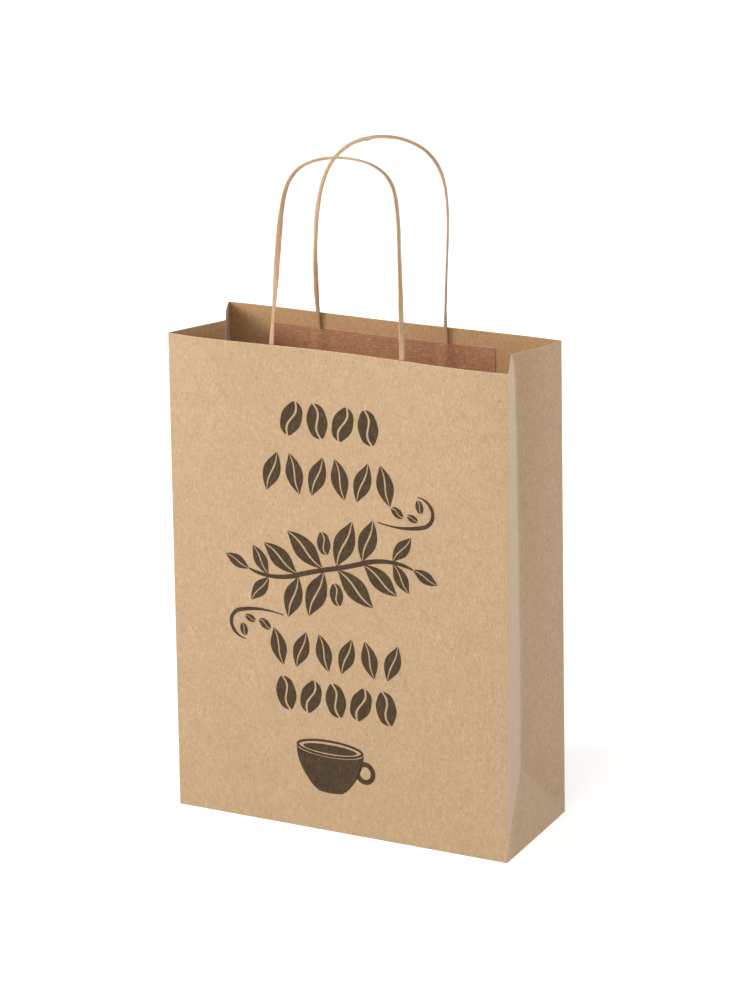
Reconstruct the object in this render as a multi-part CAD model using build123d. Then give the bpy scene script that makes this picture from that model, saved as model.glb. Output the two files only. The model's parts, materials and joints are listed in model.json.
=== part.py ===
"""Paper carrier bag with folded side gussets and two twisted-paper handles.

Frame: millimetres, +X across the printed front, -Y towards the front, +Z up.
The origin is the middle of the base, on the surface that the bag stands on.
Each flat panel of the one folded sheet is its own solid, divided at its creases.
"""
from build123d import *
import math
import os

# ---- overall sizes ----
bag_width = 245.0
bag_height = 332.0
base_depth = 95.0
mouth_depth = 84.0

# ---- the folded sheet ----
sheet = 0.2                   # thickness of the kraft sheet
left_inset_mouth = 21.0       # how far the left side fold stands in at the rim
right_inset_mouth = 17.5
side_inset_apex = 11.3        # and where it meets the two slanting base creases
seam_width = 12.0             # glued lap that closes the tube, inside the back panel
flap_lap = 10.0               # how far each base flap reaches past half the base depth

# ---- handle patches: two paper strips with the cord ends glued between ----
patch_width = 163.5
patch_height = 38.0
patch_drop = 11.0             # rim to the top edge of the strips
strip = 0.2                   # thickness of each strip
hump_run = 3.0                # how far the cover strip takes to come down beside a cord
front_offset = 0.5            # middle of the front handle, along X
back_offset = -7.0

# ---- handle cords ----
cord_diameter = 3.0
cord_gap = 0.05               # glue film between a cord end and the strips
leg_spacing = 94.0            # between the two legs, at the hinge line
loop_height = 122.0           # hinge line to the crown's centre line
leg_lean = 3.3                # degrees that each leg leans towards the other
corner_radius = 22.0
crown_radius = 60.0
front_lean = 5.0              # degrees that the loop stands in from upright
back_lean = 2.5
hinge_rise = 2.3              # hinge line above the rim
hinge_gap = 0.3               # between a cord end and its loop
cord_tail = 3.0               # cord end stops this far above the strips' lower edge

# ---- worked out from the sizes above ----
half_width = bag_width / 2
half_base = base_depth / 2
half_mouth = mouth_depth / 2
cord_radius = cord_diameter / 2
apex_height = math.sqrt(half_base**2 - side_inset_apex**2)
wall_tilt = math.degrees(math.atan2(half_base - half_mouth, bag_height))
wall_step = sheet / math.cos(math.radians(wall_tilt))
cord_depth = strip + cord_gap + cord_radius


def outer_y(height):
    """Distance of the front and back walls' outer faces from the middle, at a height."""
    return half_base + (half_mouth - half_base) * height / bag_height


def crease_step(half_depth, inset):
    """How far inwards along X the sheet's inner face lies at a wall's upright crease."""
    return sheet * (math.hypot(half_depth, inset) + inset) / half_depth


def fold_step(half_depth, inset):
    """The same at the middle fold of a side."""
    return sheet * math.hypot(half_depth, inset) / half_depth


def polyhedron(corners, faces):
    """A closed solid from named corners and the loops of names round its flat faces."""
    sides = [Face(Wire.make_polygon([corners[name] for name in loop])) for loop in faces]
    return Solid(Shell(sides))


def thick_panel(outer, inner, facets):
    """A panel between matching outer and inner corner loops; facets split it at soft folds."""
    corners = {}
    for index, (outside, inside) in enumerate(zip(outer, inner)):
        corners[("out", index)] = outside
        corners[("in", index)] = inside
    count = len(outer)
    faces = []
    for facet in facets:
        faces.append([("out", index) for index in facet])
        faces.append([("in", index) for index in reversed(facet)])
    for index in range(count):
        after = (index + 1) % count
        low, high = sorted((index, after), key=lambda place: outer[place][2])
        faces.append([("out", low), ("in", low), ("in", high)])
        faces.append([("out", low), ("in", high), ("out", high)])
    return polyhedron(corners, faces)


def wall_panel(side):
    """Front (side -1) or back (side +1) wall, mitred along both upright creases."""
    left_step = crease_step(half_mouth, left_inset_mouth)
    right_step = crease_step(half_mouth, right_inset_mouth)
    outer = []
    inner = []
    for x_side, height, step in (
        (-1, 0.0, sheet),
        (1, 0.0, sheet),
        (1, bag_height, right_step),
        (-1, bag_height, left_step),
    ):
        y = outer_y(height)
        outer.append((x_side * half_width, side * y, height))
        inner.append((x_side * (half_width - step), side * (y - wall_step), height))
    return thick_panel(outer, inner, [(0, 1, 2, 3)])


def gusset_half(x_side, y_side, inset_mouth):
    """One half of a side gusset, from a wall's upright crease to the middle fold."""
    apex_step = fold_step(half_base, side_inset_apex)
    top_step = fold_step(half_mouth, inset_mouth)
    rim_step = crease_step(half_mouth, inset_mouth)
    outer = []
    inner = []
    for x, y, z, step_x, step_y in (
        (half_width, half_base, 0.0, sheet, wall_step),
        (half_width - side_inset_apex, 0.0, apex_height, apex_step, 0.0),
        (half_width - inset_mouth, 0.0, bag_height, top_step, 0.0),
        (half_width, half_mouth, bag_height, rim_step, wall_step),
    ):
        outer.append((x_side * x, y_side * y, z))
        inner.append((x_side * (x - step_x), y_side * (y - step_y), z))
    return thick_panel(outer, inner, [(0, 1, 3), (1, 2, 3)])


def gusset_triangle(x_side):
    """The triangle that stands on a base end, between the two slanting creases."""
    apex_step = fold_step(half_base, side_inset_apex)
    outer = []
    inner = []
    for x, y, z, step_x, step_y in (
        (half_width, -half_base, 0.0, sheet, -wall_step),
        (half_width, half_base, 0.0, sheet, wall_step),
        (half_width - side_inset_apex, 0.0, apex_height, apex_step, 0.0),
    ):
        outer.append((x_side * x, y, z))
        inner.append((x_side * (x - step_x), y - step_y, z))
    return thick_panel(outer, inner, [(0, 1, 2)])


def base_end(layer):
    """Inner face of the leaning end triangle, at the top of a layer of the base."""
    lean = side_inset_apex / apex_height
    return half_width - sheet * (1 + lean * (layer + 1))


def base_edge(layer):
    """Inner face of a wall, at the top of a layer of the base."""
    return outer_y((layer + 1) * sheet) - wall_step


def base_plate(outline, layer):
    """A flat flap of the base, lying in the given layer of the folded bottom."""
    face = make_face(Polyline(*outline, close=True))
    return extrude(face, amount=sheet).moved(Location((0, 0, layer * sheet)))


def long_flap(side, layer):
    """A flap folded in from a wall's lower edge, past the centre line, with 45 degree ends."""
    edge = base_edge(layer)
    near = base_end(layer)
    far = near - edge
    outline = [
        (-near, side * edge),
        (near, side * edge),
        (far, 0.0),
        (far, -side * flap_lap),
        (-far, -side * flap_lap),
        (-far, 0.0),
    ]
    return base_plate(outline, layer)


def end_flap(x_side, layer):
    """A flap folded in from a base end, as deep as the long flaps: the tube is cut straight."""
    edge = base_edge(layer)
    near = base_end(layer)
    far = near - edge - flap_lap
    outline = [
        (x_side * near, -edge),
        (x_side * near, edge),
        (x_side * far, edge),
        (x_side * far, -edge),
    ]
    return base_plate(outline, layer)


def wall_plane(side):
    """Local frame on a wall's inner face at the rim: Y points into the bag, Z up the wall."""
    tilt = math.radians(wall_tilt)
    origin = (0, side * (half_mouth - wall_step), bag_height)
    return Plane(origin=origin, x_dir=(-side, 0, 0), z_dir=(0, -side * math.sin(tilt), math.cos(tilt)))


def on_wall(side, shape):
    """Place a shape that was built in the local frame of a wall's inner face."""
    return shape.moved(wall_plane(side).location)


def local_offset(side):
    """The handle's middle along the wall's own X, which points the other way at the back."""
    return front_offset if side < 0 else -back_offset


def leg_places(side):
    """Where the two legs stand along the wall's own X."""
    middle = local_offset(side)
    return [middle - leg_spacing / 2, middle + leg_spacing / 2]


def seam_lap():
    """The tube's glued lap, flat on the back wall's inner face beside its left crease."""
    foot = 4 * sheet
    length = (bag_height - foot) / math.cos(math.radians(wall_tilt))
    left_end = half_width - 2 * sheet
    lap = Box(seam_width, sheet, length, align=(Align.MAX, Align.MIN, Align.MAX))
    return on_wall(1, lap.moved(Location((left_end, 0, 0))))


def patch_base(side):
    """The strip that is glued to the wall."""
    plate = Box(patch_width, strip, patch_height, align=(Align.CENTER, Align.MIN, Align.MAX))
    return on_wall(side, plate.moved(Location((local_offset(side), 0, -patch_drop))))


def cover_profile(side, lift):
    """Outline of the cover strip's face: flat, with a hump over each cord end."""
    middle = local_offset(side)
    clear = strip + 2 * cord_gap + cord_diameter
    points = [(middle - patch_width / 2, strip + lift)]
    for leg in leg_places(side):
        foot = cord_radius + hump_run
        crest = cord_radius * 0.6
        points.append((leg - foot, strip + lift))
        points.append((leg - crest, clear + lift))
        points.append((leg + crest, clear + lift))
        points.append((leg + foot, strip + lift))
    points.append((middle + patch_width / 2, strip + lift))
    return points


def patch_cover(side):
    """The strip over the cord ends, humped where they lie under it."""
    outline = cover_profile(side, 0.0) + list(reversed(cover_profile(side, strip)))
    face = make_face(Polyline(*outline, close=True))
    plate = extrude(face, amount=patch_height)
    return on_wall(side, plate.moved(Location((0, 0, -patch_drop - patch_height))))


def cord_end(side, leg):
    """A cord's glued end, from between the strips to just below the hinge line."""
    top = hinge_rise - cord_radius - hinge_gap
    foot = -patch_drop - patch_height + cord_tail
    stub = Cylinder(cord_radius, top - foot, align=(Align.CENTER, Align.CENTER, Align.MIN))
    return on_wall(side, stub.moved(Location((leg, cord_depth, foot))))


def hinge_point(side):
    """Centre of the hinge line between a handle's two legs, in the bag's frame."""
    middle = local_offset(side)
    place = wall_plane(side).from_local_coords(Vector(middle, cord_depth, hinge_rise))
    return place


def loop_path():
    """Half of a handle's centre line as tangent pieces, from the right leg up to the crown."""
    lean = math.radians(leg_lean)
    arc_gap = crown_radius - corner_radius
    crown_centre = loop_height - crown_radius
    reach = leg_spacing / 2 * math.cos(lean) - corner_radius - crown_centre * math.sin(lean)
    turn = math.asin(reach / arc_gap) - lean
    corner_x = arc_gap * math.sin(turn)
    corner_z = crown_centre + arc_gap * math.cos(turn)

    def corner_point(angle):
        x = corner_x + corner_radius * math.cos(angle)
        return Vector(x, 0, corner_z + corner_radius * math.sin(angle))

    def crown_point(angle):
        x = crown_radius * math.sin(angle)
        return Vector(x, 0, crown_centre + crown_radius * math.cos(angle))

    corner_end = math.pi / 2 - turn
    foot = Vector(leg_spacing / 2, 0, 0)
    leg_top = corner_point(lean)
    shoulder = crown_point(turn)
    left_top = Vector(-leg_top.X, 0, leg_top.Z)
    left_shoulder = Vector(-shoulder.X, 0, shoulder.Z)
    corner_mid = corner_point((lean + corner_end) / 2)
    left_mid = Vector(-corner_mid.X, 0, corner_mid.Z)
    return Wire([
        Line(foot, leg_top).edge(),
        ThreePointArc(leg_top, corner_mid, shoulder).edge(),
        ThreePointArc(shoulder, crown_point(0.0), left_shoulder).edge(),
        ThreePointArc(left_shoulder, left_mid, left_top).edge(),
        Line(left_top, Vector(-foot.X, 0, 0)).edge(),
    ])


def handle_loop(side, lean):
    """The free loop of a handle, with a ball at each foot that turns on the hinge line."""
    path = loop_path()
    start = Plane(origin=path @ 0, z_dir=path % 0)
    tube = sweep(start * Circle(cord_radius), path=path)
    for foot in (-leg_spacing / 2, leg_spacing / 2):
        tube += Sphere(cord_radius).moved(Location((foot, 0, 0)))
    tube = tube.rotate(Axis.X, side * lean)
    return tube.moved(Location(hinge_point(side)))


def every_node():
    """All pieces, by node name."""
    nodes = {
        "front_panel": wall_panel(-1),
        "back_panel": wall_panel(1),
        "bottom_rear_flap": long_flap(1, 0),
        "bottom_front_flap": long_flap(-1, 1),
        "seam_lap": seam_lap(),
    }
    for name, x_side, inset in (("left", -1, left_inset_mouth), ("right", 1, right_inset_mouth)):
        nodes[name + "_gusset_front"] = gusset_half(x_side, -1, inset)
        nodes[name + "_gusset_rear"] = gusset_half(x_side, 1, inset)
        nodes[name + "_gusset_triangle"] = gusset_triangle(x_side)
        nodes["bottom_" + name + "_flap"] = end_flap(x_side, 2)
    for name, side, lean in (("front", -1, front_lean), ("back", 1, back_lean)):
        nodes[name + "_patch_base"] = patch_base(side)
        nodes[name + "_patch_cover"] = patch_cover(side)
        left_leg, right_leg = leg_places(side) if side < 0 else reversed(leg_places(side))
        nodes[name + "_cord_left_end"] = cord_end(side, left_leg)
        nodes[name + "_cord_right_end"] = cord_end(side, right_leg)
        nodes[name + "_handle_loop"] = handle_loop(side, lean)
    return nodes


os.makedirs("parts", exist_ok=True)
for node_name, shape in every_node().items():
    export_step(shape, f"parts/{node_name}.step")

for handle, side, lean in (("front", -1, front_lean), ("back", 1, back_lean)):
    centre = hinge_point(side)
    print(handle, "hinge line at Y", round(centre.Y, 3), "Z", round(centre.Z, 3))
print("loop centre line", round(loop_path().length, 1), "mm; apex of a side fold", round(apex_height, 2))
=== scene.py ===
"""Looks of a kraft paper carrier bag with folded side gussets and twisted-paper handles."""
import bmesh
import bpy
import json
import math
from mathutils import Matrix, Vector, noise


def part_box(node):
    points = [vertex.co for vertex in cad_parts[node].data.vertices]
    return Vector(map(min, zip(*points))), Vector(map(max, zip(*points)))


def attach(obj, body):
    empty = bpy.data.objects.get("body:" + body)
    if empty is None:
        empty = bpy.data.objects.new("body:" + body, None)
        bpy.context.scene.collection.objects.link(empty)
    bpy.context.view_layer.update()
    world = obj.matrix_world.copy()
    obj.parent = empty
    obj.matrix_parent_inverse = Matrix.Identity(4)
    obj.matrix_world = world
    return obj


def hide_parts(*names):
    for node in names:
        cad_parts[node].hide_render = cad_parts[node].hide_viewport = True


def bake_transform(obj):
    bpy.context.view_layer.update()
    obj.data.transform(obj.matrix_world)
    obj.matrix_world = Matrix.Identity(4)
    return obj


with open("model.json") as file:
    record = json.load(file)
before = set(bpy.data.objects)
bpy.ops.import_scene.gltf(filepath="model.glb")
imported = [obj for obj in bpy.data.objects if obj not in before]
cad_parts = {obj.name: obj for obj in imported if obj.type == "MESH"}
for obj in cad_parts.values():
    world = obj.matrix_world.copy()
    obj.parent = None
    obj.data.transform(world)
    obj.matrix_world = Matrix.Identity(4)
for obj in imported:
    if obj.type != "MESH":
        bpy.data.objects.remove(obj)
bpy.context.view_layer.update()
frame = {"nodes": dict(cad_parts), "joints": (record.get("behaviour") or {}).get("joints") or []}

MM = 0.001

# ---- sizes read from the frame ----
front_low, front_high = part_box("front_panel")
flap_low, flap_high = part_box("bottom_rear_flap")
half_width = front_high.x
rim = front_high.z
sheet = flap_high.z - flap_low.z
half_base = -front_low.y
half_mouth = sheet - front_high.y
left_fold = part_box("left_gusset_front")[1].x - sheet
right_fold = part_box("right_gusset_front")[0].x + sheet
apex_low, apex_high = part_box("right_gusset_triangle")
apex_inset = half_width - apex_low.x - sheet
apex_height = apex_high.z
wall_slope = (half_mouth - half_base) / rim
hinges = {joint["child"]: Vector(joint["pos_m"]) for joint in frame["joints"]}
FRONT = -1
BACK = 1

# ---- how the paper bends away from flat ----
rim_wave = {FRONT: 2.2 * MM, BACK: 0.9 * MM}  # inward at mid rim, outward beside the corners
rim_fade = 150 * MM           # the wave dies out this far below the rim
belly = 1.0 * MM              # outward swell of the walls at mid height
unevenness = 0.16 * MM        # slow ups and downs of the whole sheet
unevenness_pitch = 45 * MM
gusset_bow = {FRONT: 0.4 * MM, BACK: 1.4 * MM}  # outward swell of each gusset half at the rim
fold_softness = 2.2 * MM      # the middle folds aren't pressed sharp
fold_flare = {"left": (1.0, 1.2), "right": (0.62, 1.6)}  # share and power of the slow part
flare_power = 60              # the rest of a fold's flare comes just under the rim
crease_dent = 0.9 * MM        # the slanting base creases lie this far in
dent_reach = 6 * MM           # and draw the paper in this far to each side
crease_round = 0.45 * MM
hold = 1.2 * MM               # narrow strip that keeps the paper flat up to a crease
grid_step = 7 * MM
fold_rows = (1.1 * MM, 2.6 * MM, 5 * MM)          # cuts beside a middle fold
rim_rows = (10 * MM, 6 * MM, 3 * MM, 1 * MM)      # and below the rim

# ---- handle cord and its strips ----
cord_wide = 3.7 * MM
cord_thick = 1.6 * MM
section_points = 20            # round the cord
crown_rise = 1.7 * MM          # the line runs inside its points at the crown
lip_reach = 2.6 * MM           # a lip of loose paper hangs under each cord, this far to each side
lip_drop = 0.75 * MM
# the fold weights also set how much shade is painted along each fold of the cord
fold_steps = {4: 1.0, 8: 0.5, 13: 1.0, 18: 0.6}  # folds round the section, and how deep
hump_reach = 8 * MM
hump_height = cord_thick + 0.15 * MM
hump_run = 7 * MM              # from the strip's lower edge to a hump's full height
seam_glue = 0.02 * MM


# ================= working by hand =================

def start_piece(name):
    """Name the primitive that was just added and open it with nothing selected."""
    piece = bpy.context.object
    piece.name = name
    piece.data.name = name
    bpy.ops.object.mode_set(mode="EDIT")
    bpy.ops.mesh.select_all(action="DESELECT")
    return piece


def choose(piece, kind, test):
    """Select just the verts, edges or faces whose middle passes the test."""
    bpy.ops.mesh.select_mode(type=kind)
    bpy.ops.mesh.select_all(action="DESELECT")
    mesh = bmesh.from_edit_mesh(piece.data)
    if kind == "VERT":
        for vert in mesh.verts:
            vert.select_set(test(vert.co))
    if kind == "EDGE":
        for edge in mesh.edges:
            edge.select_set(test((edge.verts[0].co + edge.verts[1].co) / 2))
    if kind == "FACE":
        for face in mesh.faces:
            face.select_set(test(face.calc_center_median()))
    mesh.select_flush_mode()
    bmesh.update_edit_mesh(piece.data)


def move_points(piece, place):
    """Put every vertex of the open piece where place() says."""
    mesh = bmesh.from_edit_mesh(piece.data)
    for vert in mesh.verts:
        vert.co = place(vert.co.copy())
    bmesh.update_edit_mesh(piece.data)


def near(value, target, slack=0.05 * MM):
    return abs(value - target) < slack


def between(low, high, step):
    """Evenly spaced places inside a span, about a step apart."""
    count = max(1, round((high - low) / step))
    return [low + (high - low) * index / count for index in range(1, count)]


def cut_across(piece, normal, places, test=None):
    """Cut the open piece, or the faces that pass the test, by parallel planes."""
    for place in places:
        if test:
            choose(piece, "FACE", test)
        else:
            bpy.ops.mesh.select_all(action="SELECT")
        bpy.ops.mesh.bisect(plane_co=normal * place, plane_no=normal)


def only(piece):
    bpy.ops.object.select_all(action="DESELECT")
    piece.select_set(True)
    bpy.context.view_layer.objects.active = piece


def apply_modifier(piece, kind, **values):
    """Add one modifier, set it and apply it."""
    only(piece)
    modifier = piece.modifiers.new(kind.title(), kind)
    for key, value in values.items():
        setattr(modifier, key, value)
    bpy.ops.object.modifier_apply(modifier=modifier.name)


def finish_with(piece, materials):
    piece.data.materials.clear()
    for material in materials:
        piece.data.materials.append(material)


def close_piece(piece, smooth_angle=35):
    """Leave edit mode, settle the piece's place in its mesh and shade it."""
    if bpy.context.mode != "OBJECT":
        bpy.ops.object.mode_set(mode="OBJECT")
    only(piece)
    bpy.ops.object.transform_apply(location=True, rotation=True, scale=True)
    bpy.ops.object.shade_smooth_by_angle(angle=math.radians(smooth_angle))


def store_mask(piece, name, value_at):
    """Keep a number for each vertex that the finish reads."""
    mask = piece.data.attributes.new(name, "FLOAT", "POINT")
    for vert in piece.data.vertices:
        mask.data[vert.index].value = value_at(vert.co)


def smooth_step(value):
    share = min(1.0, max(0.0, value))
    return share * share * (3 - 2 * share)


# ================= camera, light and floor =================

def place_camera():
    """Three-quarter view from the right, looking a little down."""
    width = 2 * half_width
    azimuth = math.radians(26.753)
    elevation = math.radians(18.27)
    roll = math.radians(-0.992)
    target = Vector((-0.001 * width, 0, 0.897 * width))
    back = Vector((
        math.sin(azimuth) * math.cos(elevation),
        -math.cos(azimuth) * math.cos(elevation),
        math.sin(elevation),
    ))
    bpy.ops.object.camera_add(location=target + back * 10.121 * width)
    camera = bpy.context.object
    camera.name = "camera"
    turn = Matrix.Rotation(azimuth, 3, "Z") @ Matrix.Rotation(math.pi / 2 - elevation, 3, "X")
    camera.rotation_euler = (turn @ Matrix.Rotation(roll, 3, "Z")).to_euler()
    camera.data.sensor_fit = "AUTO"
    camera.data.sensor_width = 36
    camera.data.lens = 135.1
    camera.data.clip_start = 0.05
    camera.data.clip_end = 50
    bpy.context.scene.camera = camera


def soft_light(name, place, aim, size, power, colour=(1, 1, 1)):
    """A square softbox that points at the aim."""
    bpy.ops.object.light_add(type="AREA", location=place)
    light = bpy.context.object
    light.name = name
    light.data.size = size
    light.data.energy = power
    light.data.color = colour
    light.rotation_euler = (Vector(aim) - Vector(place)).to_track_quat("-Z", "Y").to_euler()


def light_scene():
    """A key from the left, weaker front, top and side lights, one behind, and a white room."""
    soft_light("key_softbox", (-1.2, -0.85, 1.1), (0, 0, 0.2), 0.7, 20, (1, 0.985, 0.96))
    soft_light("front_softbox", (0.1, -2.0, 0.8), (0, 0, 0.15), 0.8, 8.5)
    soft_light("top_softbox", (0.4, -0.5, 2.0), (0, 0, 0.2), 1.0, 8)
    soft_light("side_softbox", (1.8, -0.3, 0.7), (0, 0, 0.15), 0.9, 1.5)
    soft_light("rear_softbox", (1.2, 2.1, 1.0), (0, 0, 0.15), 1.1, 22, (0.93, 0.96, 1))
    world = bpy.data.worlds.new("white_room")
    bpy.context.scene.world = world
    world.use_nodes = True
    room = Finish(world.node_tree)
    seen = room.add("ShaderNodeLightPath").outputs["Is Camera Ray"]
    strength = room.ramp(seen, 0.0, 1.0, 0.36, 1.0)
    background = room.add("ShaderNodeBackground", {"Color": (1, 1, 1, 1), "Strength": strength})
    room.add("ShaderNodeOutputWorld", {"Surface": background.outputs["Background"]})
    bpy.ops.mesh.primitive_plane_add(size=40, location=(0, 0, -0.2 * MM))
    floor = bpy.context.object
    floor.name = "floor"
    floor.data.materials.append(floor_finish())
    bpy.context.scene.view_settings.view_transform = "Standard"


# ================= finishes =================

class Finish:
    """A node tree being wired up: add() makes a node and links or sets its sockets."""

    def __init__(self, tree):
        self.tree = tree
        tree.nodes.clear()

    def add(self, kind, inputs=None, **settings):
        node = self.tree.nodes.new(kind)
        for key, value in settings.items():
            setattr(node, key, value)
        for key, value in (inputs or {}).items():
            if isinstance(value, bpy.types.NodeSocket):
                self.tree.links.new(value, node.inputs[key])
            else:
                node.inputs[key].default_value = value
        return node

    def noise(self, vector, scale, detail=2.0, rough=0.5, distortion=0.0):
        sockets = {
            "Vector": vector,
            "Scale": scale,
            "Detail": detail,
            "Roughness": rough,
            "Distortion": distortion,
        }
        return self.add("ShaderNodeTexNoise", sockets).outputs["Fac"]

    def ramp(self, value, low, high, to_low=0.0, to_high=1.0):
        sockets = {
            "Value": value,
            "From Min": low,
            "From Max": high,
            "To Min": to_low,
            "To Max": to_high,
        }
        node = self.add("ShaderNodeMapRange", sockets, interpolation_type="SMOOTHSTEP")
        return node.outputs["Result"]

    def math(self, first, second, operation="ADD"):
        node = self.add("ShaderNodeMath", {0: first, 1: second}, operation=operation)
        return node.outputs["Value"]

    def mix(self, share, first, second, blend="MIX"):
        node = self.add("ShaderNodeMix", data_type="RGBA", blend_type=blend)
        for index, value in ((0, share), (6, first), (7, second)):
            if isinstance(value, bpy.types.NodeSocket):
                self.tree.links.new(value, node.inputs[index])
            else:
                node.inputs[index].default_value = value
        return node.outputs[2]

    def stretch(self, vector, scale):
        node = self.add("ShaderNodeMapping", {"Vector": vector, "Scale": scale})
        return node.outputs["Vector"]

    def object_place(self):
        return self.add("ShaderNodeTexCoord").outputs["Object"]


def new_group(name, inputs, outputs):
    group = bpy.data.node_groups.new(name, "ShaderNodeTree")
    for label, kind, start in inputs:
        socket = group.interface.new_socket(name=label, in_out="INPUT", socket_type=kind)
        if start is not None:
            socket.default_value = start
    for label, kind in outputs:
        group.interface.new_socket(name=label, in_out="OUTPUT", socket_type=kind)
    return group


def pulp_group():
    """Pressed paper pulp: clouds, fibres along the grain, fine tooth, dark and pale specks."""
    group = new_group(
        "paper_pulp",
        [
            ("Vector", "NodeSocketVector", None),
            ("Along Grain", "NodeSocketVector", None),
            ("Pulp", "NodeSocketColor", (0.5, 0.35, 0.2, 1)),
            ("Fibre", "NodeSocketColor", (0.6, 0.45, 0.3, 1)),
            ("Shade", "NodeSocketColor", (0.4, 0.25, 0.15, 1)),
            ("Speck", "NodeSocketColor", (0.1, 0.06, 0.03, 1)),
            ("Contrast", "NodeSocketFloat", 1.0),
        ],
        [
            ("Colour", "NodeSocketColor"),
            ("Height", "NodeSocketFloat"),
            ("Tooth", "NodeSocketFloat"),
        ],
    )
    wire = Finish(group)
    given = wire.add("NodeGroupInput").outputs
    place = given["Vector"]
    grain = given["Along Grain"]
    clouds = wire.noise(place, 70, 3, 0.6)
    blots = wire.noise(place, 330, 3, 0.6)
    fibres = wire.noise(grain, 1150, 3, 0.7, 0.8)
    tooth = wire.noise(place, 1500, 3, 0.75)
    tone = wire.ramp(clouds, 0.25, 0.75, 0, 0.3)
    tone = wire.math(tone, wire.ramp(blots, 0.25, 0.75, 0, 0.4))
    tone = wire.math(tone, wire.ramp(fibres, 0.3, 0.7, 0, 1.35))
    tone = wire.math(tone, wire.ramp(tooth, 0.3, 0.7, 0, 1.6))
    tone = wire.math(wire.math(tone, 1.83, "SUBTRACT"), given["Contrast"], "MULTIPLY")
    dark = wire.ramp(tone, 0.0, -1.6)
    pale = wire.ramp(tone, 0.0, 1.6)
    colour = wire.mix(dark, given["Pulp"], given["Shade"])
    colour = wire.mix(pale, colour, given["Fibre"])
    cells = wire.add("ShaderNodeTexVoronoi", {"Vector": place, "Scale": 240.0})
    pick = wire.add("ShaderNodeSeparateColor", {"Color": cells.outputs["Color"]}).outputs
    size = wire.ramp(pick["Red"], 0.9, 1.0, 0.0, 0.16)
    speck = wire.math(size, cells.outputs["Distance"], "SUBTRACT")
    speck = wire.ramp(wire.math(speck, 12.0, "MULTIPLY"), 0.0, 1.0)
    strands = wire.add("ShaderNodeTexVoronoi", {"Vector": grain, "Scale": 700.0})
    strand_pick = wire.add("ShaderNodeSeparateColor", {"Color": strands.outputs["Color"]}).outputs
    strand_size = wire.ramp(strand_pick["Green"], 0.88, 1.0, 0.0, 0.32)
    strand = wire.math(strand_size, strands.outputs["Distance"], "SUBTRACT")
    strand = wire.ramp(wire.math(strand, 8.0, "MULTIPLY"), 0.0, 1.0)
    colour = wire.mix(wire.math(strand, 0.4, "MULTIPLY"), colour, given["Fibre"])
    colour = wire.mix(wire.math(speck, 0.75, "MULTIPLY"), colour, given["Speck"])
    height = wire.math(wire.math(fibres, 0.5, "MULTIPLY"), wire.math(tooth, 0.35, "MULTIPLY"))
    height = wire.math(height, wire.math(blots, 0.3, "MULTIPLY"))
    wire.add("NodeGroupOutput", {"Colour": colour, "Height": height, "Tooth": tooth})
    return group


def wear_and_shade_group():
    """Raised, rubbed fibres where a mask says that the paper is creased or cut; on the cord the same mix
    paints shade into its folds and under its lip.
    """
    group = new_group(
        "rubbed_edge_and_painted_crease_shade",
        [
            ("Vector", "NodeSocketVector", None),
            ("Colour", "NodeSocketColor", (0.5, 0.35, 0.2, 1)),
            ("Rubbed Fibres And Painted Shade", "NodeSocketColor", (0.7, 0.55, 0.4, 1)),
            ("Mask", "NodeSocketFloat", 0.0),
        ],
        [("Colour", "NodeSocketColor"), ("Rub And Painted Shade", "NodeSocketFloat")],
    )
    wire = Finish(group)
    given = wire.add("NodeGroupInput").outputs
    breaks = wire.ramp(wire.noise(given["Vector"], 700, 3, 0.6), 0.35, 0.6, 0.25, 1.0)
    rub_and_shade = wire.math(breaks, given["Mask"], "MULTIPLY")
    colour = wire.mix(rub_and_shade, given["Colour"], given["Rubbed Fibres And Painted Shade"])
    wire.add("NodeGroupOutput", {"Colour": colour, "Rub And Painted Shade": rub_and_shade})
    return group


def use_group(wire, group, inputs):
    node = wire.add("ShaderNodeGroup", node_tree=group)
    for key, value in inputs.items():
        if isinstance(value, bpy.types.NodeSocket):
            wire.tree.links.new(value, node.inputs[key])
        else:
            node.inputs[key].default_value = value
    return node.outputs


def new_finish(name):
    material = bpy.data.materials.new(name)
    material.use_nodes = True
    return material, Finish(material.node_tree)


def paper_surface(wire, colour, roughness, height, bump_depth, sheen=0.25, gloss=0.35):
    """The shader of a matt paper, with its bump."""
    bump = wire.add("ShaderNodeBump", {"Height": height, "Strength": 0.9, "Distance": bump_depth})
    shader = wire.add("ShaderNodeBsdfPrincipled", {
        "Base Color": colour,
        "Roughness": roughness,
        "Normal": bump.outputs["Normal"],
    })
    shader.inputs["Specular IOR Level"].default_value = gloss
    shader.inputs["Sheen Weight"].default_value = sheen
    shader.inputs["Sheen Roughness"].default_value = 0.45
    wire.add("ShaderNodeOutputMaterial", {"Surface": shader.outputs["BSDF"]})


def kraft_finish(name, pulp, wear_and_shade, pulp_colour, fibre_colour, shade_colour):
    material, wire = new_finish(name)
    place = wire.object_place()
    grain = wire.stretch(place, (1.0, 1.0, 0.3))
    made = use_group(wire, pulp, {
        "Vector": place,
        "Along Grain": grain,
        "Pulp": pulp_colour,
        "Fibre": fibre_colour,
        "Shade": shade_colour,
        "Speck": (0.120, 0.066, 0.030, 1),
        "Contrast": 1.0,
    })
    mask = wire.add("ShaderNodeAttribute", attribute_name="crease_wear").outputs["Fac"]
    edge = use_group(wire, wear_and_shade, {
        "Vector": place,
        "Colour": made["Colour"],
        "Rubbed Fibres And Painted Shade": (0.600, 0.440, 0.290, 1),
        "Mask": wire.math(mask, 0.6, "MULTIPLY"),
    })
    roughness = wire.ramp(made["Tooth"], 0.3, 0.7, 0.68, 0.86)
    paper_surface(wire, edge["Colour"], roughness, made["Height"], 0.08 * MM)
    return material


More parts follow.
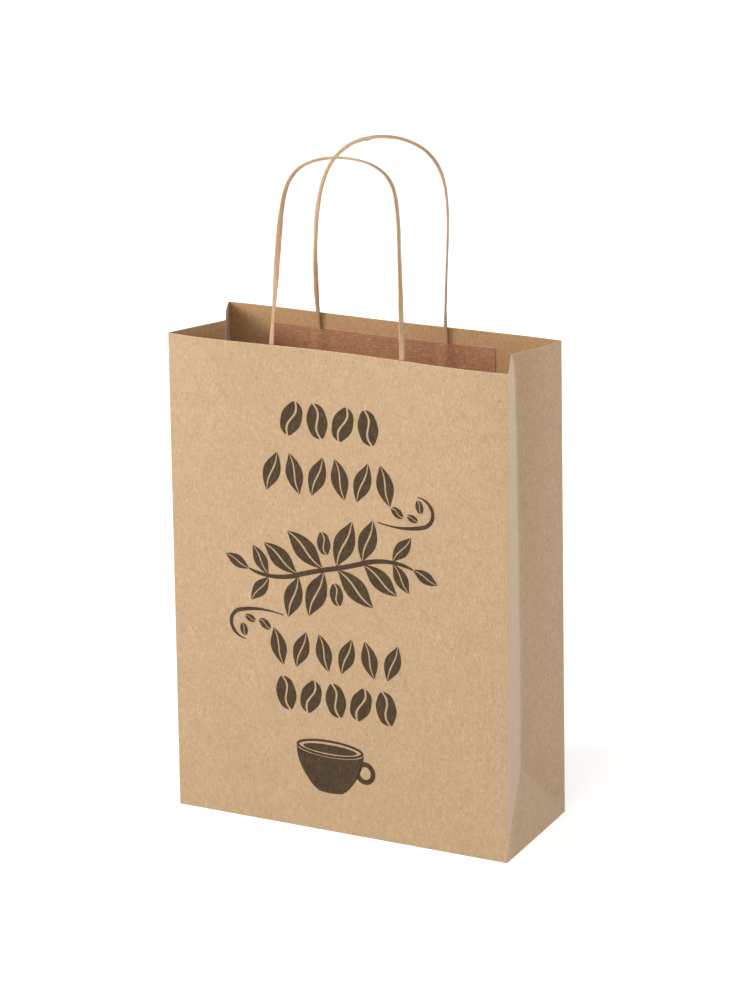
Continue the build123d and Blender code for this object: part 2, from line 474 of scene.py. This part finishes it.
def patch_finish(pulp, wear_and_shade):
    material, wire = new_finish("recycled_patch_paper")
    place = wire.object_place()
    grain = wire.stretch(place, (0.3, 1.0, 1.0))
    made = use_group(wire, pulp, {
        "Vector": place,
        "Along Grain": grain,
        "Pulp": (0.442, 0.203, 0.100, 1),
        "Fibre": (0.650, 0.358, 0.202, 1),
        "Shade": (0.320, 0.133, 0.063, 1),
        "Speck": (0.090, 0.040, 0.020, 1),
        "Contrast": 1.2,
    })
    mask = wire.add("ShaderNodeAttribute", attribute_name="crease_wear").outputs["Fac"]
    edge = use_group(wire, wear_and_shade, {
        "Vector": place,
        "Colour": made["Colour"],
        "Rubbed Fibres And Painted Shade": (0.420, 0.240, 0.160, 1),
        "Mask": wire.math(mask, 0.7, "MULTIPLY"),
    })
    roughness = wire.ramp(made["Tooth"], 0.3, 0.7, 0.72, 0.9)
    paper_surface(wire, edge["Colour"], roughness, made["Height"], 0.1 * MM)
    return material


def cord_finish(pulp, wear_and_shade):
    """Twisted paper: the grain follows the cord's own map; shade is painted darker along its folds and
    under its lip.
    """
    material, wire = new_finish("twisted_paper_cord")
    along = wire.add("ShaderNodeUVMap", uv_map="cord_map").outputs["UV"]
    place = wire.object_place()
    made = use_group(wire, pulp, {
        "Vector": place,
        "Along Grain": wire.stretch(along, (1.0, 0.12, 1.0)),
        "Pulp": (0.485, 0.300, 0.170, 1),
        "Fibre": (0.640, 0.440, 0.275, 1),
        "Shade": (0.350, 0.196, 0.100, 1),
        "Speck": (0.200, 0.110, 0.050, 1),
        "Contrast": 0.9,
    })
    fold = wire.add("ShaderNodeAttribute", attribute_name="painted_fold_and_lip_shade").outputs["Fac"]
    # painted shade: the dark brown below is laid along the cord's folds and under its hanging lip, where
    # shade falls
    edge = use_group(wire, wear_and_shade, {
        "Vector": wire.stretch(along, (1.0, 0.08, 1.0)),
        "Colour": made["Colour"],
        "Rubbed Fibres And Painted Shade": (0.260, 0.135, 0.060, 1),
        "Mask": wire.math(fold, 0.7, "MULTIPLY"),
    })
    wrinkle = wire.noise(wire.stretch(along, (1.0, 0.05, 1.0)), 650, 2, 0.5)
    streak = wire.noise(wire.stretch(along, (1.0, 0.07, 1.0)), 430, 3, 0.6, 0.4)
    dark_streaks = wire.ramp(streak, 0.44, 0.66, 0.0, 0.65)
    streaked = wire.mix(dark_streaks, edge["Colour"], (0.360, 0.200, 0.100, 1))
    height = wire.math(made["Height"], wire.math(wrinkle, 1.2, "MULTIPLY"))
    roughness = wire.ramp(wrinkle, 0.3, 0.7, 0.5, 0.72)
    paper_surface(wire, streaked, roughness, height, 0.14 * MM, 0.12)
    return material


def ink_finish(pulp):
    """Dark brown printing ink that leaves the paper's high fibres half bare."""
    material, wire = new_finish("brown_print_ink")
    place = wire.object_place()
    grain = wire.stretch(place, (1.0, 1.0, 0.3))
    made = use_group(wire, pulp, {
        "Vector": place,
        "Along Grain": grain,
        "Pulp": (0.050, 0.031, 0.014, 1),
        "Fibre": (0.118, 0.073, 0.038, 1),
        "Shade": (0.032, 0.019, 0.009, 1),
        "Speck": (0.030, 0.020, 0.012, 1),
        "Contrast": 1.1,
    })
    roughness = wire.ramp(made["Tooth"], 0.3, 0.7, 0.55, 0.8)
    paper_surface(wire, made["Colour"], roughness, made["Height"], 0.06 * MM, 0.0, 0.18)
    return material


def floor_finish():
    material, wire = new_finish("pale_floor")
    place = wire.object_place()
    tone = wire.mix(wire.noise(place, 3, 2), (0.93, 0.93, 0.93, 1), (0.96, 0.96, 0.96, 1))
    shader = wire.add("ShaderNodeBsdfPrincipled", {"Base Color": tone, "Roughness": 0.9})
    shader.inputs["Emission Color"].default_value = (1, 1, 1, 1)
    reach = wire.add("ShaderNodeVectorMath", {0: place}, operation="LENGTH").outputs["Value"]
    glow = wire.ramp(reach, 0.25, 1.3, 0.36, 0.66)
    wire.tree.links.new(glow, shader.inputs["Emission Strength"])
    wire.add("ShaderNodeOutputMaterial", {"Surface": shader.outputs["BSDF"]})
    return material


# ================= how the folded sheet lies =================

def flat_wall_y(z):
    """Distance of the front and back walls from the middle plane, before they bend."""
    return half_base + wall_slope * z


def ups_and_downs(x, z, seed):
    place = Vector((x / unevenness_pitch, seed, z / unevenness_pitch))
    return unevenness * noise.noise(place)


def wall_bend(side, x, z):
    """How far a wall stands in from its flat plane."""
    share = min(1.0, abs(x) / half_width)
    held = 1 - share**8
    near_rim = smooth_step((z - rim + rim_fade) / rim_fade)
    wave = rim_wave[side] * math.cos(1.2 * math.pi * x / half_width) * held
    swell = belly * math.sin(math.pi * z / rim) * (1 - share * share)
    foot = smooth_step(z / (20 * MM))
    return wave * near_rim - swell + ups_and_downs(x, z, 3.7 * side) * held * foot


def wall_point(side, x, z, depth=0.0):
    """A point on a wall's outer face, or that far inside it."""
    return Vector((x, side * (flat_wall_y(z) - wall_bend(side, x, z) - depth), z))


def fold_share(side_name, z):
    """A height as a share of the way from apex to rim, and a middle fold's share of its flare."""
    rise = min(1.0, max(0.0, (z - apex_height) / (rim - apex_height)))
    slow, power = fold_flare[side_name]
    return rise, slow * rise**power + (1 - slow) * rise**flare_power


def bend_sheet(co):
    """Move one point of the flat-panelled bag to where the soft paper has it."""
    x, y, z = co
    wall = flat_wall_y(z)
    if near(abs(y), wall):
        return wall_point(FRONT if y < 0 else BACK, x, z)
    side_name = "left" if x < 0 else "right"
    sign = -1 if x < 0 else 1
    fold = left_fold if x < 0 else right_fold
    across = 1 - abs(y) / wall
    depth = half_width - abs(x)
    soft_across = 1 - math.sqrt(y * y + fold_softness**2) / math.sqrt(wall**2 + fold_softness**2)
    rise, share = fold_share(side_name, z)
    flare = half_width - abs(fold) - apex_inset
    above = smooth_step((z - apex_height * across) / (60 * MM))
    depth += flare * (share - rise) * across * above
    depth -= depth * (1 - soft_across / across) * above if across > 0 else 0
    bow = gusset_bow[FRONT if y < 0 else BACK] * math.sin(math.pi * across) * rise
    uneven = 2 * ups_and_downs(y, z, 9.1 * sign) * math.sin(math.pi * across) * above
    off_crease = z - apex_height * across
    dent = crease_dent * math.exp(-(off_crease / dent_reach) ** 2) * math.sin(math.pi * across) ** 0.5
    return Vector((sign * (half_width - depth + bow + uneven - dent), y, z))


def is_on_wall(co):
    return near(abs(co.y), flat_wall_y(co.z))


def make_bag_sheet(materials):
    """The folded sheet's walls and gussets, pulled up from its base outline."""
    bpy.ops.mesh.primitive_plane_add(size=1)
    bag = start_piece("bag_sheet")
    bpy.ops.mesh.select_all(action="SELECT")
    bpy.ops.transform.resize(value=(2 * half_width, 2 * half_base, 1))
    bpy.ops.mesh.bisect(plane_co=(0, 0, 0), plane_no=(0, 1, 0))

    def raise_to(start, height):
        choose(bag, "FACE", lambda co: near(co.z, start))
        bpy.ops.mesh.extrude_region_move(TRANSFORM_OT_translate={"value": (0, 0, height - start)})
        ratio = flat_wall_y(height) / flat_wall_y(start)
        bpy.ops.transform.resize(value=(1, ratio, 1))

    def pull_fold(height, x_from, x_to):
        choose(bag, "VERT", lambda co: near(co.z, height) and near(co.y, 0) and near(co.x, x_from))
        bpy.ops.transform.translate(value=(x_to - x_from, 0, 0))

    raise_to(0, apex_height)
    for sign in (-1, 1):
        pull_fold(apex_height, sign * half_width, sign * (half_width - apex_inset))
    raise_to(apex_height, rim)
    for fold, sign in ((left_fold, -1), (right_fold, 1)):
        pull_fold(rim, sign * (half_width - apex_inset), fold)
    choose(bag, "FACE", lambda co: near(co.z, 0) or near(co.z, rim))
    bpy.ops.mesh.delete(type="ONLY_FACE")
    choose(bag, "EDGE", lambda co: near(co.y, 0) and abs(co.x) < half_width / 2)
    bpy.ops.mesh.delete(type="EDGE")
    for sign_x in (-1, 1):
        for sign_y in (-1, 1):
            corner = Vector((sign_x * half_width, sign_y * half_base, 0))
            apex = Vector((sign_x * (half_width - apex_inset), 0, apex_height))
            choose(bag, "VERT", lambda co: (co - corner).length < MM or (co - apex).length < MM)
            bpy.ops.mesh.vert_connect()

    # cut the panels finely enough to bend, with a narrow strip beside each upright crease
    along_x = Vector((1, 0, 0))
    along_y = Vector((0, 1, 0))
    upward = Vector((0, 0, 1))
    inner = half_width - hold
    cut_across(bag, along_x, [-inner, *between(-inner, inner, grid_step), inner], is_on_wall)
    reach = half_mouth - hold
    rows = [*fold_rows, *between(fold_rows[-1], reach, grid_step)]
    cut_across(bag, along_y, [-row for row in rows] + rows, lambda co: not is_on_wall(co))
    for side in (FRONT, BACK):
        tilted = Vector((0, side, -wall_slope)).normalized()
        place = (half_base - hold) * tilted.y * side
        cut_across(bag, tilted, [place], lambda co: not is_on_wall(co))
    levels = [*between(0, rim - rim_rows[0], grid_step), *(rim - row for row in rim_rows)]
    cut_across(bag, upward, levels)
    move_points(bag, bend_sheet)

    choose(bag, "EDGE", lambda co: near(abs(co.x), half_width) and is_on_wall(co))
    bpy.ops.mesh.bevel(offset=crease_round, segments=2, affect="EDGES")
    bpy.ops.mesh.select_all(action="SELECT")
    bpy.ops.mesh.remove_doubles(threshold=0.01 * MM)
    bpy.ops.mesh.normals_make_consistent(inside=False)
    bpy.ops.object.mode_set(mode="OBJECT")
    finish_with(bag, materials)
    apply_modifier(bag, "SOLIDIFY", thickness=sheet, offset=-1, use_even_offset=True,
                   material_offset=1)

    def wear(co):
        corner = math.hypot(abs(co.x) - half_width, abs(co.y) - flat_wall_y(co.z))
        if co.z > rim - 0.2 * MM:
            return 0.8
        if corner < 0.8 * MM:
            return 0.35
        slant = apex_height * (1 - abs(co.y) / flat_wall_y(co.z))
        return 0.3 if near(co.z, slant, 0.3 * MM) and not is_on_wall(co) else 0.0

    store_mask(bag, "crease_wear", wear)
    close_piece(bag)
    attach(bag, "root")
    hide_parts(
        "front_panel", "back_panel",
        "left_gusset_front", "left_gusset_rear", "left_gusset_triangle",
        "right_gusset_front", "right_gusset_rear", "right_gusset_triangle",
    )


# ================= strips glued inside the walls =================

def make_strip(name, node, side, depth, material, edge_wear, legs=()):
    """One glued strip that follows its wall, humped where a cord lies under it."""
    low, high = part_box(node)
    middle = ((low.x + high.x) / 2, 0, (low.z + high.z) / 2)
    bpy.ops.mesh.primitive_plane_add(size=1, location=middle, rotation=(math.pi / 2, 0, 0))
    strip = start_piece(name)
    bpy.ops.object.mode_set(mode="OBJECT")
    only(strip)
    strip.scale = (high.x - low.x, high.z - low.z, 1)
    bpy.ops.object.transform_apply(location=True, rotation=True, scale=True)
    bpy.ops.object.mode_set(mode="EDIT")
    step = 1.6 * MM if legs else 6 * MM
    cut_across(strip, Vector((1, 0, 0)), between(low.x, high.x, step))
    rows = between(low.z, high.z, 6 * MM)
    cut_across(strip, Vector((0, 0, 1)), [low.z + 0.7 * MM, *rows, high.z - 0.7 * MM])

    def hump(x, z):
        rise = max((smooth_step(1 - abs(x - leg) / hump_reach) for leg in legs), default=0.0)
        return hump_height * rise * smooth_step((z - low.z) / hump_run)

    move_points(strip, lambda co: wall_point(side, co.x, co.z, depth + hump(co.x, co.z)))
    bpy.ops.mesh.select_all(action="SELECT")
    bpy.ops.mesh.normals_make_consistent(inside=False)
    bpy.ops.object.mode_set(mode="OBJECT")
    facing = strip.data.polygons[0].normal.y * side
    apply_modifier(strip, "SOLIDIFY", thickness=sheet, offset=-1 if facing > 0 else 1,
                   use_even_offset=True)

    def wear(co):
        edge = min(co.x - low.x, high.x - co.x, co.z - low.z, high.z - co.z)
        return edge_wear if edge < 0.3 * MM else 0.0

    store_mask(strip, "crease_wear", wear)
    finish_with(strip, [material])
    close_piece(strip)
    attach(strip, "root")
    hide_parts(node)


# ================= twisted-paper handles =================

def cord_section():
    """A flattened section, nipped in at its folds, that is swept along each handle."""
    bpy.ops.curve.primitive_bezier_circle_add(radius=1)
    section = bpy.context.object
    section.name = "cord_section"
    points = []
    for index in range(section_points):
        angle = 2 * math.pi * index / section_points
        across = math.copysign(abs(math.cos(angle)) ** 0.8, math.cos(angle))
        thick = math.copysign(abs(math.sin(angle)) ** 0.8, math.sin(angle))
        nip = 1 - 0.45 * fold_steps.get(index, 0)
        points.append((across * cord_wide / 2, nip * thick * cord_thick / 2))
    section.data.splines.clear()
    spline = section.data.splines.new("POLY")
    spline.points.add(len(points) - 1)
    for point, (across, thick) in zip(spline.points, points):
        point.co = (across, thick, 0, 1)
    spline.use_cyclic_u = True
    return section


def handle_route(hinge, side, loop_node, end_nodes, shape):
    """Points that the cord bends round: out of the strips, up one leg, over, and down."""
    squareness, leg_lean, leg_swell, drift, drift_power = shape
    loop_low, loop_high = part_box(loop_node)
    end_low, end_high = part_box(end_nodes[0])
    radius = (end_high.x - end_low.x) / 2
    half_span = (loop_high.x - loop_low.x) / 2 - radius
    top = loop_high.z - radius + crown_rise
    inner_y = loop_high.y if side == FRONT else loop_low.y
    lean = inner_y + side * radius * 0.99 - hinge.y
    height = top - hinge.z
    foot = end_low.z + 0.2 * MM
    leg_depth = sheet * 2 + cord_thick / 2 + seam_glue * 2
    half = []
    for z in (foot, foot + 0.3 * (rim - foot), foot + 0.6 * (rim - foot), rim - 8 * MM):
        half.append((1.0, z, None))
    leg_shares = (-0.02, 0.05, 0.13, 0.24, 0.36, 0.48, 0.6)
    arch = [(up, math.sqrt(1 - abs(up) ** squareness)) for up in leg_shares]
    first = math.asin(0.7 ** (squareness / 2))
    for index in range(9):
        angle = first + (math.pi / 2 - first) * index / 8
        arch.append((math.sin(angle) ** (2 / squareness), math.cos(angle)))
    for up, round_in in arch:
        lean_in = math.tan(leg_lean) * up * height / half_span
        swell = leg_swell * math.sin(1.2 * math.pi * max(0.0, up)) / half_span
        half.append(((1 - lean_in + swell) * round_in, hinge.z + up * height, up))
    route = []
    for sign, rows in ((-1, half), (1, half[-2::-1])):
        for across, z, up in rows:
            x = hinge.x + sign * across * half_span
            if up is None:
                route.append(wall_point(side, x, z, leg_depth))
            else:
                x += drift * abs(up) ** drift_power
                route.append(Vector((x, hinge.y + lean * up, z)))
    return route


def twist_at(twist, share):
    """Turn of the flat section, in radians, at a share of the free length."""
    for (start, first), (stop, second) in zip(twist, twist[1:]):
        if share <= stop:
            part = smooth_step((share - start) / (stop - start))
            return math.radians(first + (second - first) * part)
    return math.radians(twist[-1][1])


def make_handle(name, body, side, section, shape, twist, phase, material, lip_at):
    """One twisted cord, from between its strips, up over the hand and back."""
    hinge = hinges[body]
    loop_node = body + "_loop"
    stem = "front" if side == FRONT else "back"
    end_nodes = (stem + "_cord_left_end", stem + "_cord_right_end")
    route = handle_route(hinge, side, loop_node, end_nodes, shape)
    bpy.ops.curve.primitive_nurbs_path_add()
    line = bpy.context.object
    line.name = name
    line.data.splines.clear()
    line.data.dimensions = "3D"
    line.data.twist_mode = "MINIMUM"
    line.data.resolution_u = 14
    spline = line.data.splines.new("NURBS")
    spline.points.add(len(route) - 1)
    for point, place in zip(spline.points, route):
        point.co = (*place, 1)
    spline.order_u = 4
    spline.use_endpoint_u = True
    line.location = (0, 0, 0)

    bpy.context.view_layer.update()
    shaped = line.evaluated_get(bpy.context.evaluated_depsgraph_get())
    centre = [vert.co.copy() for vert in bpy.data.meshes.new_from_object(shaped).vertices]
    lengths = [0.0]
    for first, second in zip(centre, centre[1:]):
        lengths.append(lengths[-1] + (second - first).length)
    whole = lengths[-1]
    glued = (rim - route[0].z) / whole
    for index, point in enumerate(spline.points):
        nearest = min(range(len(centre)), key=lambda i: (centre[i] - route[index]).length)
        share = lengths[nearest] / whole
        point.tilt = -twist_at(twist, (share - glued) / (1 - 2 * glued))
        point.radius = 1.0 + 0.05 * math.sin(9.0 * share * math.pi + phase)
    line.data.bevel_mode = "OBJECT"
    line.data.bevel_object = section
    only(line)
    bpy.ops.object.convert(target="MESH")
    cord = bpy.context.object
    cord.name = name
    cord.data.name = name
    rings = len(centre)
    if len(cord.data.vertices) != rings * section_points:
        raise ValueError("the cord hasn't one ring for each point of its line")
    # painted shade: this mask darkens the cord along its folds and on the underside of the hanging lip
    fold = cord.data.attributes.new("painted_fold_and_lip_shade", "FLOAT", "POINT")
    for vert in cord.data.vertices:
        ring, step = divmod(vert.index, section_points)
        share = lengths[ring] / whole
        outward = vert.co - centre[ring]
        rough = noise.noise(Vector((step * 0.35, lengths[ring] / (9 * MM), phase)))
        grow = 1 + 0.15 * rough
        lip = math.exp(-((share - lip_at) * whole / lip_reach) ** 4)
        below = max(0.0, -outward.normalized().z) if outward.length > 0 else 0
        vert.co = centre[ring] + outward * grow + Vector((0, 0, -lip_drop * lip * below))
        fold.data[vert.index].value = max(fold_steps.get(step, 0), smooth_step(lip * below * 1.5))
    only(cord)
    bpy.ops.object.mode_set(mode="EDIT")
    bpy.ops.mesh.select_all(action="SELECT")
    bpy.ops.mesh.fill_holes(sides=0)
    bpy.ops.mesh.normals_make_consistent(inside=False)
    bpy.ops.object.mode_set(mode="OBJECT")
    for layer in list(cord.data.uv_layers):
        cord.data.uv_layers.remove(layer)
    cord_map = cord.data.uv_layers.new(name="cord_map")
    edge_length = 2 * (cord_wide + cord_thick) * 0.85 / section_points
    for face in cord.data.polygons:
        steps = [cord.data.loops[loop].vertex_index % section_points for loop in face.loop_indices]
        wraps = max(steps) - min(steps) > section_points / 2
        for loop, step in zip(face.loop_indices, steps):
            ring = cord.data.loops[loop].vertex_index // section_points
            turn = step + section_points if wraps and step < section_points / 2 else step
            cord_map.data[loop].uv = (turn * edge_length, lengths[ring])
    finish_with(cord, [material])
    close_piece(cord, 60)
    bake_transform(cord)
    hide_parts(loop_node, *end_nodes)


# ================= printed ornament =================

def face_up(drawing):
    """Turn every face of the open drawing to look up. Its x is across the wall, its y up it."""
    mesh = bmesh.from_edit_mesh(drawing.data)
    mesh.normal_update()
    for face in mesh.faces:
        face.select_set(face.normal.z < 0)
    bmesh.update_edit_mesh(drawing.data)
    bpy.ops.mesh.flip_normals()


def draw_seed(name, width, height, gap, curl, point):
    """A bean or a leaf: an oval, split along its middle."""
    bpy.ops.mesh.primitive_circle_add(vertices=40, radius=1, fill_type="NGON")
    seed = start_piece(name)
    bpy.ops.mesh.select_all(action="SELECT")
    bpy.ops.transform.resize(value=(width / 2, height / 2, 1))
    cut_across(seed, Vector((1, 0, 0)), (-gap / 2, gap / 2))
    choose(seed, "FACE", lambda co: abs(co.x) < gap / 2)
    bpy.ops.mesh.delete(type="FACE")
    cut_across(seed, Vector((0, 1, 0)), between(-height / 2, height / 2, 1.5 * MM))
    cut_across(seed, Vector((1, 0, 0)), between(-width / 2, width / 2, 4 * MM))

    def shape(co):
        up = co.y / (height / 2)
        edge = abs(co.x) / (width / 2)
        taper = 1 - point * up * up
        x = co.x * taper + curl * math.sin(math.pi * up) * (1 - edge * edge)
        return Vector((x, co.y, 0))

    move_points(seed, shape)
    face_up(seed)
    bpy.ops.object.mode_set(mode="OBJECT")
    return seed


def stamp(drawing, x, y, turn, size, marks):
    """Place one copy, with its own mesh, on the drawing."""
    only(drawing)
    bpy.ops.object.duplicate()
    mark = bpy.context.object
    place = Matrix.Translation((x, y, 0)) @ Matrix.Rotation(turn, 4, "Z") @ Matrix.Scale(size, 4)
    mark.data.transform(place)
    marks.append(mark)


def draw_stroke(start, heading, bends, width, marks):
    """Pull one pen stroke along, turning and swelling it, and return where it went."""
    bpy.ops.mesh.primitive_plane_add(size=1)
    stroke = start_piece("stroke")
    choose(stroke, "VERT", lambda co: co.x > 0)
    bpy.ops.mesh.delete(type="VERT")
    bpy.ops.mesh.select_mode(type="VERT")
    bpy.ops.mesh.select_all(action="SELECT")
    across = Vector((-math.sin(heading), math.cos(heading), 0))
    here = Vector((*start, 0))
    ends = iter((here - across * width / 2, here + across * width / 2))
    move_points(stroke, lambda co: next(ends))
    trail = [(here, heading)]
    for length, turn, next_width in bends:
        steps = max(2, round(length / (1.5 * MM)))
        for index in range(steps):
            heading += turn / steps / 2
            move = Vector((math.cos(heading), math.sin(heading), 0)) * (length / steps)
            heading += turn / steps / 2
            bpy.ops.mesh.extrude_edges_move(TRANSFORM_OT_translate={"value": move})
            here = here + move
            trail.append((here, heading))
            share = (index + 1) / steps
            wide = width + (next_width - width) * smooth_step(share)
            across = Vector((-math.sin(heading), math.cos(heading), 0))
            mesh = bmesh.from_edit_mesh(stroke.data)
            picked = [vert for vert in mesh.verts if vert.select]
            picked.sort(key=lambda vert: (vert.co - here).dot(across))
            picked[0].co = here - across * wide / 2
            picked[1].co = here + across * wide / 2
            bmesh.update_edit_mesh(stroke.data)
        width = next_width
    face_up(stroke)
    bpy.ops.object.mode_set(mode="OBJECT")
    marks.append(stroke)
    return trail


def draw_cup(marks, middle, base, width, height):
    """A plain cup seen from a little above: bowl, rim, drink and handle."""
    lip = width * 0.11
    bowl_slant = (1, -0.355, 0)   # square to the bowl's side where the handle meets it
    bpy.ops.mesh.primitive_grid_add(x_subdivisions=32, y_subdivisions=12, size=2)
    bowl = start_piece("bowl")

    def bowl_shape(co):
        up = (co.y + 1) / 2
        half = width / 2 * (0.36 + 0.64 * math.sin(up * math.pi / 2) ** 0.75)
        round_x = co.x * half
        dip = lip * math.sqrt(max(0.0, 1 - co.x**2))
        foot = 0.05 * height * (1 - math.sqrt(max(0.0, 1 - 0.9 * co.x**2))) * (1 - up)
        return Vector((middle + round_x, base + (height - dip) * up + foot, 0))

    move_points(bowl, bowl_shape)
    face_up(bowl)
    bpy.ops.object.mode_set(mode="OBJECT")
    marks.append(bowl)
    top = base + height + 0.9 * MM

    def oval_ring(name, x, y, wide, tall, line, cut_left=None):
        bpy.ops.mesh.primitive_circle_add(vertices=56, radius=1, fill_type="NGON")
        ring = start_piece(name)
        bpy.ops.mesh.select_all(action="SELECT")
        bpy.ops.transform.resize(value=(wide / 2, tall / 2, 1))
        if line:
            bpy.ops.mesh.select_mode(type="FACE")
            bpy.ops.mesh.select_all(action="SELECT")
            bpy.ops.mesh.inset(thickness=line, depth=0)
            bpy.ops.mesh.delete(type="FACE")
        bpy.ops.mesh.select_all(action="SELECT")
        bpy.ops.transform.translate(value=(x, y, 0))
        if cut_left is not None:
            bpy.ops.mesh.bisect(plane_co=(cut_left, y, 0), plane_no=bowl_slant, clear_inner=True)
        cut_across(ring, Vector((1, 0, 0)), between(x - wide / 2, x + wide / 2, 5 * MM))
        face_up(ring)
        bpy.ops.object.mode_set(mode="OBJECT")
        marks.append(ring)

    oval_ring("cup_rim", middle, top, width, lip * 2.2, 1.7 * MM)
    oval_ring("cup_drink", middle, top - 0.4 * MM, width * 0.80, lip * 1.15, 0)
    oval_ring("cup_handle", middle + width * 0.52, base + height * 0.60,
              width * 0.30, height * 0.52, 3.5 * MM, middle + width * 0.415)


def make_print(material):
    """Rows of beans and leaves, a branch and a cup, laid on the front wall."""
    marks = []
    middle = -0.037 * half_width
    bean = draw_seed("bean", 15 * MM, 24 * MM, 1.5 * MM, 1.9 * MM, 0.1)
    leaf_length = 27 * MM
    leaf = draw_seed("leaf", 12 * MM, leaf_length, 1.1 * MM, 0.9 * MM, 0.72)
    degree = math.pi / 180
    # each row: its mark, height, count, pitch, size, tilt in degrees and shift in millimetres
    rows = (
        (bean, 0.856, 4, 18.5 * MM, 1.0, 14, 0),
        (leaf, 0.744, 6, 16.5 * MM, 1.04, 16, -1),
        (leaf, 0.380, 6, 16.8 * MM, 0.98, -16, 3),
        (bean, 0.283, 5, 18.5 * MM, 1.0, -14, 3),
    )
    for drawing, height, count, pitch, size, tilt, shift in rows:
        for index in range(count):
            x = middle + shift * MM + (index - (count - 1) / 2) * pitch
            turn = tilt * degree * (1 if index % 2 else -1)
            stamp(drawing, x, height * rim, turn, size, marks)
    level = 0.558 * rim
    for sign in (1, -1):
        facing = 0 if sign > 0 else math.pi

        def strokes(x, y, heading, width, *bends):
            """One stroke of this half, in millimetres from its middle and degrees."""
            bends = [(length * MM, turn * degree, wide * MM) for length, turn, wide in bends]
            start = (middle + sign * x * MM, level + sign * y * MM)
            return draw_stroke(start, facing + heading * degree, bends, width * MM, marks)

        # a branch whose two halves mirror each other through its middle
        stem = strokes(0, 0, 14, 3.4, (26, 6, 3.4), (28, -30, 2.6), (8, -14, 1.4))
        for share, size in ((0.08, 1.26), (0.40, 1.12), (0.75, 0.82)):
            place, heading = stem[round(share * (len(stem) - 1))]
            for lean in (-56, 56):
                aim = heading + lean * degree
                reach = (leaf_length / 2 + 1.2 * MM) * size
                stamp(leaf, place.x + math.cos(aim) * reach, place.y + math.sin(aim) * reach,
                      aim - math.pi / 2, size, marks)
        place, heading = stem[-1]
        reach = leaf_length / 2 * 0.72
        stamp(leaf, place.x + math.cos(heading) * reach, place.y + math.sin(heading) * reach,
              heading - math.pi / 2, 0.72, marks)
        stamp(bean, middle - sign * 4.5 * MM, level + sign * 17 * MM, 14 * degree, 0.66, marks)
        strokes(35, 37, -14, 0.8, (33, 30, 2.8), (17, 102, 2.4), (12, 58, 0.8))
        for x, y, turn, size in ((49, 45, 60, 0.42), (65, 51, 20, 0.38), (60, 42.5, 75, 0.34)):
            stamp(bean, middle + sign * x * MM, level + sign * y * MM, turn * degree, size, marks)
    draw_cup(marks, middle - 2 * MM, 0.082 * rim, 50 * MM, 31 * MM)
    for drawing in (bean, leaf):
        bpy.data.objects.remove(drawing)
    bpy.ops.object.select_all(action="DESELECT")
    for mark in marks:
        mark.select_set(True)
    bpy.context.view_layer.objects.active = marks[0]
    bpy.ops.object.join()
    ink = bpy.context.object
    ink.name = "front_print"
    ink.data.name = "front_print"
    bpy.ops.object.mode_set(mode="EDIT")
    bpy.ops.mesh.select_all(action="SELECT")
    bpy.ops.mesh.quads_convert_to_tris()
    move_points(ink, lambda co: wall_point(FRONT, co.x, co.y, -0.08 * MM))
    finish_with(ink, [material])
    close_piece(ink, 60)
    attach(ink, "root")


# ================= making =================

place_camera()
light_scene()
pulp = pulp_group()
wear_and_shade = wear_and_shade_group()
kraft = kraft_finish("outer_kraft_paper", pulp, wear_and_shade,
                     (0.420, 0.279, 0.156, 1), (0.555, 0.392, 0.246, 1), (0.306, 0.190, 0.097, 1))
kraft_inside = kraft_finish("inner_kraft_paper", pulp, wear_and_shade,
                            (0.535, 0.318, 0.152, 1), (0.680, 0.440, 0.245, 1), (0.395, 0.220, 0.096, 1))
patch_paper = patch_finish(pulp, wear_and_shade)
cord_paper = cord_finish(pulp, wear_and_shade)
ink_paper = ink_finish(pulp)

make_bag_sheet([kraft, kraft_inside])
make_strip("seam_lap_strip", "seam_lap", BACK, sheet + seam_glue, kraft_inside, 0)
section = cord_section()
# each arch: squareness, lean of the legs, their swell, drift of the crown and its power
front_arch = (12, math.radians(3.3), 0, 4 * MM, 9)
back_arch = (7, 0, 1.3 * MM, 11 * MM, 2.0)
# turn of the flat cord, in degrees, at shares of its free length
front_twist = (
    (-0.04, 0), (0, 8), (0.05, 41), (0.18, -10), (0.31, -73), (0.5, -75),
    (0.66, -102), (0.76, -92), (0.92, -122), (1, -168), (1.04, -180),
)
back_twist = (
    (-0.04, 0), (0, 22), (0.065, 1), (0.145, 32), (0.245, 17), (0.38, 56),
    (0.5, 75), (0.62, 89), (0.75, 115), (0.95, 111), (1, 145), (1.04, 180),
)
# each handle: its side, arch and twist, the phase of its unevenness, and where its lip hangs
handles = (
    ("front", FRONT, front_arch, front_twist, 0.4, 0.40),
    ("back", BACK, back_arch, back_twist, 2.1, 0.47),
)
for stem, side, arch_shape, twist, phase, lip_at in handles:
    body = stem + "_handle"
    ends = (stem + "_cord_left_end", stem + "_cord_right_end")
    legs = [(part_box(end)[0].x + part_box(end)[1].x) / 2 for end in ends]
    make_strip(stem + "_strip_base", stem + "_patch_base", side, sheet + seam_glue,
               patch_paper, 1)
    make_strip(stem + "_strip_cover", stem + "_patch_cover", side, 2 * sheet + 2 * seam_glue,
               patch_paper, 1, legs)
    make_handle(stem + "_cord", body, side, section, arch_shape, twist, phase, cord_paper, lip_at)
bpy.data.objects.remove(section)
make_print(ink_paper)

for flap in ("bottom_front_flap", "bottom_rear_flap", "bottom_left_flap", "bottom_right_flap"):
    for place in frame["nodes"][flap].material_slots:
        place.material = kraft
